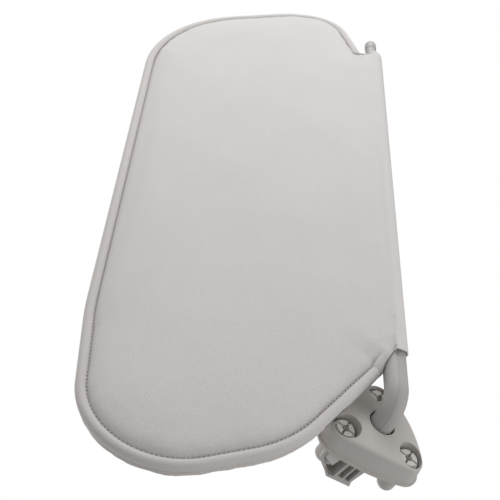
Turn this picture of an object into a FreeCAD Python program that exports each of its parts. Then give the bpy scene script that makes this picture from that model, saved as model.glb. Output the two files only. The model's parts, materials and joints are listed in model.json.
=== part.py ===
import FreeCAD, Part
import Sketcher
import math
import os
import re

# Padded car sun visor on an elbow arm.
# Row frame: origin where the swing axis meets the roof, +Z up into the roof, +X inboard, +Y forward.
# Panel frame: x along the rod from the swing axis, y from the rod to the free edge, z to the room side.

DIMENSIONS = [
    # alias, value, what it is
    ("rod_drop", 28.5, "rod axis below the roof"),
    ("raise_angle", 20.0, "free edge above the level of the rod, degrees"),
    ("arm_radius", 6.2, "moulded arm"),
    ("bend_radius", 12.0, "centre line of the elbow"),
    ("arm_top", 16.0, "arm's upper end above the roof"),
    ("arm_reach", 50.0, "where the arm steps down inside the panel"),
    ("spigot_radius", 4.6, "arm's stepped end"),
    ("spigot_end", 76.0, "inboard end of the arm's spigot"),
    ("ring_groove_radius", 5.2, "groove for the retaining ring"),
    ("ring_groove_width", 1.3, "groove for the retaining ring"),
    ("ring_level", 11.0, "retaining ring above the roof"),
    ("rod_radius", 3.5, "steel pivot rod"),
    ("rod_start", 54.0, "rod's end inside the arm"),
    ("rod_end", 212.0, "rod's inboard end"),
    ("rod_flat", 0.5, "depth of the detent flat"),
    ("front_face", 9.0, "room-side face from the rod axis"),
    ("cover_thickness", 1.4, "cloth and its backing"),
    ("foam_thickness", 1.4, "padding under the cloth"),
    ("core_front_depth", 6.2, "front half of the core"),
    ("core_back_depth", 6.6, "back half of the core"),
    ("core_skin", 1.4, "outer wall of each core half"),
    ("piping_width", 5.8, "edge piping across"),
    ("piping_front", 4.0, "piping's room side from the rod axis"),
    ("piping_back", 2.0, "piping's roof side from the rod axis"),
    ("core_inset", 13.0, "core edge inside the outline"),
    ("back_inset", 4.5, "back cover's edge inside the outline"),
    ("wrap_thickness", 1.0, "cloth round the pivot edge"),
    ("core_pivot_inset", 4.5, "core edge inside the pivot edge"),
    ("foam_inset", 22.0, "padding edge inside the outline"),
    ("relief_radius", 35.0, "hollow in the panel's back above the bracket"),
    ("relief_level", 16.0, "hollow's floor below the roof"),
    ("bush_radius", 5.9, "rod bushes, outside"),
    ("bush_length", 8.0, "rod bushes"),
    ("outboard_bush_at", 60.0, "outboard bush's outboard face"),
    ("inboard_bush_at", 200.0, "inboard bush's outboard face"),
    ("running_gap", 0.05, "radial clearance of every bearing"),
    ("carrier_at", 95.0, "clip carrier's outboard face"),
    ("carrier_length", 55.0, "clip carrier"),
    ("block_low", -4.8, "carrier's and pin holder's pivot side"),
    ("block_width", 17.8, "carrier and pin holder across"),
    ("block_half_height", 5.2, "carrier and pin holder from the rod axis"),
    ("detent_at", 105.0, "detent spring's outboard edge"),
    ("detent_length", 35.0, "detent spring"),
    ("spring_thickness", 0.8, "detent spring's strip"),
    ("leg_end", 7.0, "detent spring's legs reach this far from the rod axis"),
    ("leg_room", 4.8, "slot for the legs in the carrier"),
    ("screw_radius", 1.5, "carrier screw"),
    ("screw_head_radius", 2.8, "carrier screw's head"),
    ("screw_head_height", 1.6, "carrier screw's head"),
    ("screw_length", 9.0, "carrier screw under its head"),
    ("screw_line", 9.5, "carrier screws from the rod axis"),
    ("pin_neck_radius", 3.7, "clip pin"),
    ("pin_head_radius", 4.2, "clip pin's round-ended head"),
    ("pin_head_length", 11.0, "clip pin's head"),
    ("pin_root_radius", 3.0, "clip pin inside its holder"),
    ("pin_root_at", 302.0, "clip pin's inner end"),
    ("pin_shoulder_at", 341.0, "where the pin leaves its holder"),
    ("pin_tip_at", 366.5, "clip pin's free end"),
    ("holder_at", 300.0, "pin holder's outboard face"),
    ("holder_length", 40.6, "pin holder"),
    ("fixing_circle_radius", 21.0, "circle of the three fixings"),
    ("fixing_turn", 5.0, "first fixing from the rod's direction, degrees"),
    ("side_bulge_reach", 75.0, "how far back each bowed side's arc is centred"),
    ("bezel_rim_corner", 10.0, "bezel corner radius at the roof"),
    ("bezel_face_corner", 7.4, "bezel corner radius at its face"),
    ("bezel_lip_corner", 10.7, "corner radius of the bezel's thin lip"),
    ("bezel_lip_height", 1.2, "bezel's thin lip"),
    ("bezel_rounding", 2.2, "rounding round the bezel's face"),
    ("loft_overrun", 0.5, "bezel block past its domed face"),
    ("bezel_depth", 14.5, "middle of the bezel's face below the roof"),
    ("dome_radius", 112.0, "bezel's domed face"),
    ("well_radius", 7.2, "recess round each fixing"),
    ("arm_hole_radius", 7.4, "bezel's hole for the arm"),
    ("cavity_radius", 12.8, "bezel's hollow round the hub"),
    ("cavity_depth", 11.0, "bezel's hollow round the hub"),
    ("plate_corner", 8.4, "base plate's corner radius"),
    ("plate_thickness", 3.0, "base plate"),
    ("plate_gap", 0.2, "base plate to bezel"),
    ("hub_radius", 12.3, "base hub"),
    ("hub_depth", 10.6, "base hub below the roof"),
    ("housing_radius", 10.2, "round housing of the swing bearing"),
    ("housing_height", 16.0, "bearing housing above the roof"),
    ("chamber_radius", 8.6, "friction spring's chamber in the housing"),
    ("chamber_floor", 3.0, "chamber floor above the roof"),
    ("tower_reach", 15.0, "clip tower's outboard face from the swing axis"),
    ("tower_length", 11.0, "clip tower along the rod's direction"),
    ("tower_height", 22.0, "clear height above the roof over the chamber"),
    ("window_depth", 1.8, "shallow part of the tower's window"),
    ("window_well", 7.0, "deep part of the tower's window"),
    ("rib_pocket_depth", 5.0, "pockets between the tower's ribs"),
    ("latch_thickness", 2.6, "sprung tab in the window"),
    ("boss_radius", 4.8, "round-ended bosses that enter the roof holes"),
    ("boss_height", 15.0, "bosses above the roof"),
    ("boss_rounding", 3.6, "bosses' round ends"),
    ("plug_hole_radius", 3.7, "hole in each boss"),
    ("plug_hole_top", 12.5, "end of that hole above the roof"),
    ("screw_way_radius", 1.7, "screw's way out through the boss's end"),
    ("plug_stem_radius", 3.6, "expansion plug's stem"),
    ("plug_stem_length", 14.0, "expansion plug above the base plate"),
    ("plug_collar_radius", 6.0, "expansion plug's collar ring"),
    ("plug_collar_height", 5.6, "expansion plug's collar ring"),
    ("plug_petal_radius", 5.0, "expansion plug's petals"),
    ("plug_petal_height", 1.6, "expansion plug's petals"),
    ("plug_slot_width", 1.2, "slots between the petals"),
    ("plug_slot_run", 1.2, "slots past the petals into the collar"),
    ("plug_bore_radius", 1.5, "hole down the expansion plug"),
    ("plug_mouth_radius", 2.1, "wider mouth of that hole"),
    ("plug_mouth_depth", 5.0, "wider mouth of that hole"),
    ("petal_turn", 25.0, "first slot from the rod's direction, degrees"),
    ("swing_bush_radius", 7.2, "arm's bearing bush, outside"),
    ("swing_bush_low", 10.4, "bush's lower end below the roof"),
    ("swing_bush_high", 2.8, "bush's upper end above the roof"),
    ("grip_radius", 8.3, "friction spring, outside"),
    ("grip_low", 3.2, "friction spring above the roof"),
    ("grip_height", 6.0, "friction spring"),
    ("grip_gap", 3.0, "friction spring's opening"),
    ("washer_low", 9.5, "washer above the roof"),
    ("washer_thickness", 1.0, "washer"),
    ("ring_radius", 7.8, "retaining ring, outside"),
    ("ring_thickness", 1.1, "retaining ring"),
    ("ring_mouth", 5.2, "retaining ring's opening"),
    ("ring_play", 0.1, "retaining ring above its groove's lower face"),
    ("arm_clearance", 0.5, "radial room round the arm inside the panel"),
    ("end_clearance", 2.0, "room past the arm's step and past the rod's end"),
    ("shoulder_room", 3.0, "pin holder's room past the shoulder"),
    ("wrap_start", 44.0, "where the cloth round the pivot edge begins"),
    ("wrap_past_holder", 28.0, "cloth round the pivot edge past the holder's start"),
    ("screw_end_distance", 5.0, "carrier screws from the carrier's ends"),
    ("leg_mouth", 28.0, "half the opening between the detent spring's legs, degrees"),
    ("pin_step", 1.0, "cone between the pin's neck and its head"),
]

# Corners of the panel's outline in the panel frame: x, y and corner radius.
# They run from the elbow along the pivot edge and round the free edge.
OUTLINE = [
    (40.0, -7.5, 10.0),
    (343.0, -7.5, 13.0),
    (343.0, 8.0, 3.0),
    (394.0, 25.0, 30.0),
    (391.0, 63.0, 40.0),
    (351.0, 160.6, 92.0),
    (40.0, 162.0, 200.0),
    (-79.0, 153.0, 50.0),
    (-38.5, 49.5, 70.0),
]
PIVOT_SIDE = 0
SHOULDER_SIDE = 1
PIPING_START = (18.0, 8.47)
PIPING_END = (347.0, 9.35)

# Hollows between the core's ribs: lower edge, first hollow and how many.
RIB_PITCH = 40.0
RIB_WALL = 4.0
RIB_ROWS = [(22.0, 44.0, 7), (62.0, 8.0, 9), (102.0, -12.0, 8)]

# How far the layers stay inside the pivot edge and the shoulder.
CORE_SHOULDER_INSET = 4.0
FOAM_PIVOT_INSET = 15.5
FOAM_SHOULDER_INSET = 12.0
COVER_SHOULDER_INSET = 0.5
COVER_GAP = 0.2

# Clip tower seen along the rod: y forward and z up, both from the swing axis at the roof.
TOWER_PROFILE = [(-22.8, -1.0), (3.4, -1.0), (2.2, 9.1), (1.2, 13.5), (0.4, 18.0),
                 (1.4, 21.5), (-13.1, 20.1), (-16.0, 16.5), (-22.8, 9.6)]
WINDOW_EDGE = [(-20.8, 3.0), (-8.2, 3.0), (-9.8, 18.2), (-12.6, 18.6), (-15.2, 16.6), (-20.8, 8.6)]
WINDOW_WELL = [(-14.8, 3.5), (-8.4, 3.5), (-9.9, 17.8), (-12.6, 18.2), (-15.0, 16.2),
               (-16.5, 13.6), (-14.8, 13.6)]
RIB_POCKETS = [
    [(-6.2, 3.0), (-3.2, 3.0), (-4.9, 17.8), (-8.2, 17.4)],
    [(-2.2, 3.0), (0.6, 3.0), (-1.0, 18.4), (-3.9, 18.0)],
]
LATCH_EDGE = [(-20.6, 3.0), (-13.0, 3.0), (-14.9, 10.7), (-20.6, 6.6)]

FIXINGS = 3
SUB_PARTS = []

doc = FreeCAD.newDocument("SunVisor")
sheet = doc.addObject("Spreadsheet::Sheet", "Dimensions")
for row, (alias, value, meaning) in enumerate(DIMENSIONS, start=1):
    sheet.set(f"A{row}", meaning)
    sheet.set(f"B{row}", str(value))
    sheet.setAlias(f"B{row}", alias)
doc.recompute()


def size(alias):
    """Value of a driving dimension."""
    return float(sheet.get(alias))


def bind(target, prop, formula):
    """Tie a property to the sheet: every word of the formula is an alias there."""
    target.setExpression(prop, re.sub(r"([a-z_]+)", r"Dimensions.\1", formula))


# ---------------------------------------------------------------- outlines

def offset(corners, distance, sides=None, closed=True):
    """Move every side to its left by distance, or by its own distance in sides."""
    sides = sides or {}
    count = len(corners)
    lines = []
    for index in range(count if closed else count - 1):
        ax, ay = corners[index][:2]
        bx, by = corners[(index + 1) % count][:2]
        length = math.hypot(bx - ax, by - ay)
        dx, dy = (bx - ax) / length, (by - ay) / length
        shift = sides.get(index, distance)
        lines.append((ax - dy * shift, ay + dx * shift, dx, dy))
    moved = []
    for index, (x, y, radius) in enumerate(corners):
        if not closed and index in (0, count - 1):
            line = lines[0] if index == 0 else lines[-1]
            along = (x - line[0]) * line[2] + (y - line[1]) * line[3]
            moved.append((line[0] + line[2] * along, line[1] + line[3] * along, 0.0))
            continue
        px, py, pdx, pdy = lines[index - 1]
        qx, qy, qdx, qdy = lines[index % len(lines)]
        cross = pdx * qdy - pdy * qdx
        along = ((qx - px) * qdy - (qy - py) * qdx) / cross
        shift = min(sides.get(index - 1, distance), sides.get(index, distance))
        turn = 1 if cross > 0 else -1
        moved.append((px + pdx * along, py + pdy * along, max(radius - turn * shift, 0.6)))
    return moved


def rounded_loop(corners):
    """Lines and arcs of a closed polygon whose corners are rounded."""
    points = []
    for index, (x, y, radius) in enumerate(corners):
        corner = FreeCAD.Vector(x, y, 0)
        before = FreeCAD.Vector(*corners[index - 1][:2], 0) - corner
        after = FreeCAD.Vector(*corners[(index + 1) % len(corners)][:2], 0) - corner
        before.normalize()
        after.normalize()
        if radius <= 0:
            points.append((corner, None, corner))
            continue
        half = before.getAngle(after) / 2
        reach = radius / math.tan(half)
        bisector = (before + after).normalize()
        middle = corner + bisector * (radius / math.sin(half) - radius)
        points.append((corner + before * reach, middle, corner + after * reach))
    geometry = []
    for index, (start, middle, end) in enumerate(points):
        if middle is not None:
            geometry.append(Part.Arc(start, middle, end))
        following = points[(index + 1) % len(points)][0]
        geometry.append(Part.LineSegment(end, following))
    return geometry


def piping_corners():
    """Closed band that follows the outline from the elbow round to the pin."""
    outer = [(*PIPING_END, 0.0)]
    outer += OUTLINE[3:]
    outer += [(*PIPING_START, 0.0)]
    inner = offset(outer, size("piping_width"), closed=False)
    return outer + inner[::-1]


def fixing_centre(index):
    """Centre of one fixing in the bracket's plane."""
    angle = math.radians(size("fixing_turn") + 360.0 * index / FIXINGS)
    radius = size("fixing_circle_radius")
    return FreeCAD.Vector(radius * math.cos(angle), radius * math.sin(angle), 0)


def bracket_loop(corner_radius):
    """Rounded triangle with bowed sides, its corners round the three fixings."""
    centres = [fixing_centre(index) for index in range(FIXINGS)]
    reach = size("side_bulge_reach")
    joints = []
    for index in range(FIXINGS):
        near = centres[index]
        far = centres[(index + 1) % FIXINGS]
        outward = (near + far).normalize()
        hub = outward * -reach
        side_radius = (near - hub).Length + corner_radius
        start = hub + (near - hub).normalize() * side_radius
        end = hub + (far - hub).normalize() * side_radius
        joints.append((start, hub + outward * side_radius, end))
    geometry = []
    for index in range(FIXINGS):
        tip = centres[index] + FreeCAD.Vector(centres[index]).normalize() * corner_radius
        geometry.append(Part.Arc(joints[index - 1][2], tip, joints[index][0]))
        geometry.append(Part.Arc(*joints[index]))
    return geometry


def rectangle(low_x, low_y, width, height):
    """Four lines of a rectangle."""
    return rounded_loop([
        (low_x, low_y, 0), (low_x + width, low_y, 0),
        (low_x + width, low_y + height, 0), (low_x, low_y + height, 0),
    ])


def polygon(points):
    """Straight-sided closed loop."""
    return rounded_loop([(x, y, 0) for x, y in points])


# ---------------------------------------------------------------- features

def new_body(name):
    """Body whose name is its sub-part's name."""
    body = doc.addObject("PartDesign::Body", name)
    body.Label = name
    SUB_PARTS.append(body)
    return body


def new_sketch(body, name, geometry=(), plane="XY_Plane", level=None):
    """Sketch on one of the body's own planes, lifted to a level given as a formula."""
    sketch = body.newObject("Sketcher::SketchObject", name)
    base = [item for item in body.Origin.OriginFeatures if item.Role == plane][0]
    sketch.AttachmentSupport = [(base, "")]
    sketch.MapMode = "FlatFace"
    if level is not None:
        bind(sketch, "AttachmentOffset.Base.z", level)
    if geometry:
        sketch.addGeometry(list(geometry))
    return sketch


def add_circle(sketch, centre, formula):
    """Circle whose radius is bound to the sheet."""
    index = sketch.addGeometry(Part.Circle(centre, FreeCAD.Vector(0, 0, 1), 1.0))
    constraint = sketch.addConstraint(Sketcher.Constraint("Radius", index, 1.0))
    bind(sketch, f"Constraints[{constraint}]", formula)


def pad(body, name, sketch, formula, down=False):
    """Pad to a length given as a formula, up from the sketch or down from it."""
    feature = body.newObject("PartDesign::Pad", name)
    feature.Profile = sketch
    bind(feature, "Length", formula)
    feature.Reversed = down
    doc.recompute()
    return feature


def pocket(body, name, sketch, formula=None, up=False):
    """Pocket to a depth given as a formula, or right through both ways."""
    before = body.Shape.Volume
    feature = body.newObject("PartDesign::Pocket", name)
    feature.Profile = sketch
    if formula is None:
        feature.SideType = "Symmetric"
        feature.Type = "ThroughAll"
    else:
        bind(feature, "Length", formula)
        feature.Reversed = up
    doc.recompute()
    if body.Shape.Volume >= before - 0.01:
        raise RuntimeError(f"{name} removes nothing")
    return feature


def turned(body, name, sketch, axis, cut=False):
    """Full revolution, or groove, about one of the sketch's own axes."""
    before = body.Shape.Volume if cut else 0.0
    feature = body.newObject("PartDesign::Groove" if cut else "PartDesign::Revolution", name)
    feature.Profile = sketch
    feature.ReferenceAxis = (sketch, [axis])
    feature.Angle = 360.0
    doc.recompute()
    if cut and body.Shape.Volume >= before - 0.01:
        raise RuntimeError(f"{name} removes nothing")
    return feature


def tube_body(name, low, length, outer, inner, plane="XY_Plane"):
    """Plain tube along a plane's normal, all four sizes given as formulas."""
    body = new_body(name)
    sketch = new_sketch(body, f"{name}_section", plane=plane, level=low)
    add_circle(sketch, FreeCAD.Vector(0, 0, 0), outer)
    add_circle(sketch, FreeCAD.Vector(0, 0, 0), inner)
    pad(body, f"{name}_wall", sketch, length)
    return body


def panel_placement():
    """The panel frame: x on the rod's axis, turned to the raised rest position."""
    turn = FreeCAD.Rotation(FreeCAD.Vector(1, 0, 0), 180.0 - size("raise_angle"))
    return FreeCAD.Placement(FreeCAD.Vector(0, 0, -size("rod_drop")), turn)


def relieve(body, label):
    """Hollow over the bracket: a round pocket about the swing axis, above the relief level."""
    place = panel_placement()
    floor = FreeCAD.Placement(FreeCAD.Vector(0, 0, -size("relief_level")), FreeCAD.Rotation())
    sketch = new_sketch(body, f"{label}_relief")
    sketch.AttachmentOffset = place.inverse().multiply(floor)
    add_circle(sketch, FreeCAD.Vector(0, 0, 0), "relief_radius")
    pocket(body, f"{label}_relief_pocket", sketch, "relief_radius", up=True)


# ---------------------------------------------------------------- bracket

def make_bezel():
    """Domed cover over the roof fixing."""
    body = new_body("bezel")
    rim = new_sketch(body, "bezel_rim", bracket_loop(size("bezel_rim_corner")))
    face = new_sketch(body, "bezel_face", bracket_loop(size("bezel_face_corner")), level="-bezel_depth - loft_overrun")
    loft = body.newObject("PartDesign::AdditiveLoft", "bezel_block")
    loft.Profile = rim
    loft.Sections = [face]
    doc.recompute()

    deep = size("bezel_depth")
    radius = size("dome_radius")
    reach = size("fixing_circle_radius") + size("bezel_lip_corner") + 6.0
    arc_z = [radius - deep - math.sqrt(radius ** 2 - x ** 2) for x in (reach / 2, reach)]
    low = -deep - 6.0
    corner = [FreeCAD.Vector(0, -deep, 0), FreeCAD.Vector(reach, arc_z[1], 0)]
    foot = [FreeCAD.Vector(reach, low, 0), FreeCAD.Vector(0, low, 0)]
    outside = [
        Part.Arc(corner[0], FreeCAD.Vector(reach / 2, arc_z[0], 0), corner[1]),
        Part.LineSegment(corner[1], foot[0]),
        Part.LineSegment(foot[0], foot[1]),
        Part.LineSegment(foot[1], corner[0]),
    ]
    dome = new_sketch(body, "bezel_dome", outside, plane="XZ_Plane")
    turned(body, "bezel_dome_cut", dome, "V_Axis", cut=True)

    domed = body.Tip
    edges = []
    for number, edge in enumerate(domed.Shape.Edges, start=1):
        box = edge.BoundBox
        if box.ZMax < -8.0 and edge.Length > 6.0:
            edges.append(f"Edge{number}")
    rounding = body.newObject("PartDesign::Fillet", "bezel_rounding")
    rounding.Base = (domed, edges)
    bind(rounding, "Radius", "bezel_rounding")
    doc.recompute()

    lip = new_sketch(body, "bezel_lip", bracket_loop(size("bezel_lip_corner")))
    pad(body, "bezel_lip_pad", lip, "bezel_lip_height", down=True)
    openings = new_sketch(body, "bezel_openings")
    add_circle(openings, FreeCAD.Vector(0, 0, 0), "arm_hole_radius")
    for index in range(FIXINGS):
        add_circle(openings, fixing_centre(index), "well_radius")
    pocket(body, "bezel_wells", openings)
    hollow = new_sketch(body, "bezel_hollow")
    add_circle(hollow, FreeCAD.Vector(0, 0, 0), "cavity_radius")
    pocket(body, "bezel_cavity", hollow, "cavity_depth")
    seat = new_sketch(body, "bezel_seat", bracket_loop(size("plate_corner") + size("plate_gap")))
    pocket(body, "bezel_seat_pocket", seat, "plate_thickness + plate_gap")
    return body


def make_base():
    """Base plate with its hub, the tower that snaps into the roof and the three bosses."""
    body = new_body("base")
    plate = new_sketch(body, "base_plate", bracket_loop(size("plate_corner")))
    pad(body, "base_plate_pad", plate, "plate_thickness", down=True)
    hub = new_sketch(body, "base_hub")
    add_circle(hub, FreeCAD.Vector(0, 0, 0), "hub_radius")
    pad(body, "base_hub_pad", hub, "hub_depth", down=True)

    bosses = new_sketch(body, "base_bosses")
    for index in range(FIXINGS):
        add_circle(bosses, fixing_centre(index), "boss_radius")
    straight = pad(body, "base_boss_pad", bosses, "boss_height")
    ends = []
    for number, edge in enumerate(straight.Shape.Edges, start=1):
        if edge.BoundBox.ZMin > size("boss_height") / 2 and isinstance(edge.Curve, Part.Circle):
            ends.append(f"Edge{number}")
    rounding = body.newObject("PartDesign::Fillet", "base_boss_ends")
    rounding.Base = (straight, ends)
    bind(rounding, "Radius", "boss_rounding")
    doc.recompute()

    housing = new_sketch(body, "base_housing")
    add_circle(housing, FreeCAD.Vector(0, 0, 0), "housing_radius")
    pad(body, "base_housing_pad", housing, "housing_height")
    tower = new_sketch(body, "base_tower", polygon(TOWER_PROFILE), plane="YZ_Plane", level="-tower_reach")
    pad(body, "base_tower_pad", tower, "tower_length")
    for name, outline, depth in (
        ("base_window", WINDOW_EDGE, "window_depth"),
        ("base_window_well", WINDOW_WELL, "window_well"),
        ("base_rib_pocket", RIB_POCKETS[0], "rib_pocket_depth"),
        ("base_end_pocket", RIB_POCKETS[1], "rib_pocket_depth"),
    ):
        opening = new_sketch(body, name, polygon(outline), plane="YZ_Plane", level="-tower_reach")
        pocket(body, f"{name}_cut", opening, depth, up=True)

    bore = new_sketch(body, "base_bore")
    add_circle(bore, FreeCAD.Vector(0, 0, 0), "swing_bush_radius + running_gap")
    pocket(body, "base_bore_pocket", bore)
    chamber = new_sketch(body, "base_chamber", level="tower_height")
    add_circle(chamber, FreeCAD.Vector(0, 0, 0), "chamber_radius")
    pocket(body, "base_chamber_pocket", chamber, "tower_height - chamber_floor")
    holes = new_sketch(body, "base_plug_holes", level="plug_hole_top")
    ways = new_sketch(body, "base_screw_ways")
    for index in range(FIXINGS):
        add_circle(holes, fixing_centre(index), "plug_hole_radius")
        add_circle(ways, fixing_centre(index), "screw_way_radius")
    pocket(body, "base_plug_pocket", holes, "plug_hole_top + plate_thickness")
    pocket(body, "base_screw_way_pocket", ways)
    return body


def make_roof_latch():
    """Sprung tab in the tower's window that hooks behind the roof sheet."""
    body = new_body("roof_latch")
    edge = new_sketch(body, "latch_edge", polygon(LATCH_EDGE), plane="YZ_Plane",
                      level="window_depth - tower_reach")
    pad(body, "latch_pad", edge, "latch_thickness", down=True)
    return body


def make_fixing_plugs():
    """Three split expansion plugs, one solid in each boss."""
    plugs = []
    for index in range(FIXINGS):
        centre = fixing_centre(index)
        rounds = []
        for word, radius, height, level in (
            ("stem", "plug_stem_radius", "plug_stem_length", "-plate_thickness"),
            ("collar", "plug_collar_radius", "plug_collar_height", "-plate_thickness"),
            ("petals", "plug_petal_radius", "plug_petal_height", "-plate_thickness"),
        ):
            drop = 0.0 if word == "stem" else size("plug_collar_height")
            if word == "petals":
                drop += size("plug_petal_height")
            cylinder = doc.addObject("Part::Cylinder", f"plug_{word}_{index}")
            bind(cylinder, "Radius", radius)
            bind(cylinder, "Height", height)
            cylinder.Placement.Base = FreeCAD.Vector(centre.x, centre.y, -size("plate_thickness") - drop)
            rounds.append(cylinder)
        whole = doc.addObject("Part::MultiFuse", f"plug_whole_{index}")
        whole.Shapes = rounds
        bore = doc.addObject("Part::Cylinder", f"plug_bore_{index}")
        face = size("plate_thickness") + size("plug_collar_height") + size("plug_petal_height")
        bind(bore, "Radius", "plug_bore_radius")
        bind(bore, "Height", "plug_stem_length + plug_collar_height + plug_petal_height")
        bore.Placement.Base = FreeCAD.Vector(centre.x, centre.y, -face)
        mouth = doc.addObject("Part::Cylinder", f"plug_mouth_{index}")
        bind(mouth, "Radius", "plug_mouth_radius")
        bind(mouth, "Height", "plug_mouth_depth")
        mouth.Placement.Base = FreeCAD.Vector(centre.x, centre.y, -face)
        slots = [bore, mouth]
        for turn in (0.0, 90.0):
            slot = doc.addObject("Part::Box", f"plug_slot_{index}_{int(turn)}")
            bind(slot, "Length", "2 * plug_petal_radius")
            bind(slot, "Width", "plug_slot_width")
            bind(slot, "Height", "plug_petal_height + plug_slot_run")
            spin = FreeCAD.Rotation(FreeCAD.Vector(0, 0, 1), size("petal_turn") + turn)
            corner = FreeCAD.Vector(-size("plug_petal_radius"), -size("plug_slot_width") / 2, -face)
            slot.Placement = FreeCAD.Placement(spin.multVec(corner) + centre, spin)
            slots.append(slot)
        cutters = doc.addObject("Part::MultiFuse", f"plug_cutters_{index}")
        cutters.Shapes = slots
        plug = doc.addObject("Part::Cut", f"plug_{index}")
        plug.Base = whole
        plug.Tool = cutters
        plugs.append(plug)
    group = doc.addObject("Part::Compound", "fixing_plugs")
    group.Label = "fixing_plugs"
    group.Links = plugs
    doc.recompute()
    SUB_PARTS.append(group)
    return group


def make_swing_bearing():
    """Bush, friction spring and washer that hold the arm's upright stub."""
    tube_body("swing_bush", "-swing_bush_low", "swing_bush_low + swing_bush_high",
              "swing_bush_radius", "arm_radius + running_gap")
    spring = tube_body("swing_spring", "grip_low", "grip_height", "grip_radius", "arm_radius + running_gap")
    gap = size("grip_gap")
    opening = new_sketch(spring, "spring_opening", rectangle(0, -gap / 2, size("chamber_radius"), gap))
    pocket(spring, "spring_opening_pocket", opening)
    tube_body("swing_washer", "washer_low", "washer_thickness", "grip_radius", "arm_radius + plate_gap")


# ---------------------------------------------------------------- arm

def make_elbow_sleeve():
    """Moulded arm: upright stub, elbow, horizontal run and the stepped spigot inside the panel."""
    body = new_body("elbow_sleeve")
    bend = size("bend_radius")
    drop = size("rod_drop")
    slant = bend * math.sqrt(0.5)
    top = FreeCAD.Vector(0, size("arm_top"), 0)
    turn_start = FreeCAD.Vector(0, bend - drop, 0)
    turn_middle = FreeCAD.Vector(bend - slant, bend - slant - drop, 0)
    turn_end = FreeCAD.Vector(bend, -drop, 0)
    route = [
        Part.LineSegment(top, turn_start),
        Part.Arc(turn_start, turn_middle, turn_end),
        Part.LineSegment(turn_end, FreeCAD.Vector(size("arm_reach"), -drop, 0)),
    ]
    path = new_sketch(body, "arm_route", route, plane="XZ_Plane")
    section = new_sketch(body, "arm_section", level="arm_top")
    add_circle(section, FreeCAD.Vector(0, 0, 0), "arm_radius")
    pipe = body.newObject("PartDesign::AdditivePipe", "arm_pipe")
    pipe.Profile = section
    pipe.Spine = (path, [])
    doc.recompute()

    spigot = new_sketch(body, "spigot_section", plane="YZ_Plane", level="arm_reach")
    add_circle(spigot, FreeCAD.Vector(0, -drop, 0), "spigot_radius")
    pad(body, "spigot_pad", spigot, "spigot_end - arm_reach")
    socket = new_sketch(body, "rod_socket", plane="YZ_Plane", level="spigot_end")
    add_circle(socket, FreeCAD.Vector(0, -drop, 0), "rod_radius")
    pocket(body, "rod_socket_pocket", socket, "spigot_end - rod_start")

    groove_low = size("ring_level")
    groove_depth = size("arm_radius") - size("ring_groove_radius")
    groove = new_sketch(body, "ring_groove", plane="XZ_Plane", geometry=rectangle(
        size("ring_groove_radius"), groove_low, groove_depth + 1.0, size("ring_groove_width")))
    turned(body, "ring_groove_cut", groove, "V_Axis", cut=True)
    return body


def make_retaining_ring():
    """Ring in the arm's groove, above the washer."""
    body = new_body("retaining_ring")
    sketch = new_sketch(body, "ring_section", level="ring_level + ring_play")
    add_circle(sketch, FreeCAD.Vector(0, 0, 0), "ring_radius")
    add_circle(sketch, FreeCAD.Vector(0, 0, 0), "ring_groove_radius + running_gap")
    pad(body, "ring_pad", sketch, "ring_thickness")
    width = size("ring_mouth")
    mouth = new_sketch(body, "ring_mouth_plan", rectangle(0, -width / 2, 2 * size("ring_radius"), width))
    pocket(body, "ring_mouth_pocket", mouth)
    return body


def make_pivot_rod():
    """Steel rod, pressed into the arm, with a flat for the detent spring."""
    body = new_body("pivot_rod")
    section = new_sketch(body, "rod_section", plane="YZ_Plane", level="rod_start")
    add_circle(section, FreeCAD.Vector(0, 0, 0), "rod_radius")
    pad(body, "rod_pad", section, "rod_end - rod_start")
    flat_low = size("rod_radius") - size("rod_flat")
    flat = new_sketch(body, "rod_flat_profile", rectangle(
        size("detent_at"), flat_low, size("detent_length"), size("rod_flat") + 1.0))
    pocket(body, "rod_flat_pocket", flat)
    body.Placement = panel_placement()
    return body


# ---------------------------------------------------------------- panel

def rod_channel(body, name):
    """Stepped bore along the rod: arm, outboard bush, rod and inboard bush."""
    clear = size("arm_clearance")
    past = size("end_clearance")
    arm_end = size("arm_reach") + past
    first = size("outboard_bush_at")
    second = size("inboard_bush_at")
    length = size("bush_length")
    steps = [
        (OUTLINE[-1][0], size("arm_radius") + clear),
        (arm_end, size("spigot_radius") + clear),
        (first, size("bush_radius")),
        (first + length, size("spigot_radius") + clear),
        (second, size("bush_radius")),
        (second + length, size("rod_radius") + clear),
    ]
    points = [(steps[0][0], 0.0)]
    for index, (start, radius) in enumerate(steps):
        end = steps[index + 1][0] if index + 1 < len(steps) else size("rod_end") + past
        points += [(start, radius), (end, radius)]
    points.append((points[-1][0], 0.0))
    vectors = [FreeCAD.Vector(x, y, 0) for x, y in points]
    profile = [Part.LineSegment(a, b) for a, b in zip(vectors, vectors[1:] + vectors[:1])]
    sketch = new_sketch(body, f"{name}_channel", profile)
    turned(body, f"{name}_channel_cut", sketch, "H_Axis", cut=True)


def block_room(body, name, up):
    """Rooms for the clip carrier and for the pin holder."""
    rooms = []
    for start, length, extra in (("carrier_at", "carrier_length", 0.0),
                                 ("holder_at", "holder_length", size("shoulder_room"))):
        rooms += rectangle(size(start), size("block_low"), size(length) + extra, size("block_width"))
    sketch = new_sketch(body, f"{name}_rooms", rooms)
    pocket(body, f"{name}_rooms_pocket", sketch, "block_half_height", up=up)


def rib_hollows(body, name, formula, up):
    """Rows of shallow hollows, which leave ribs between them."""
    cells = []
    side = RIB_PITCH - RIB_WALL
    for low_y, first_x, count in RIB_ROWS:
        for step in range(count):
            cells += rectangle(first_x + step * RIB_PITCH, low_y, side, side)
    sketch = new_sketch(body, f"{name}_hollows", cells)
    pocket(body, f"{name}_hollow_pocket", sketch, formula, up=up)


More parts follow.
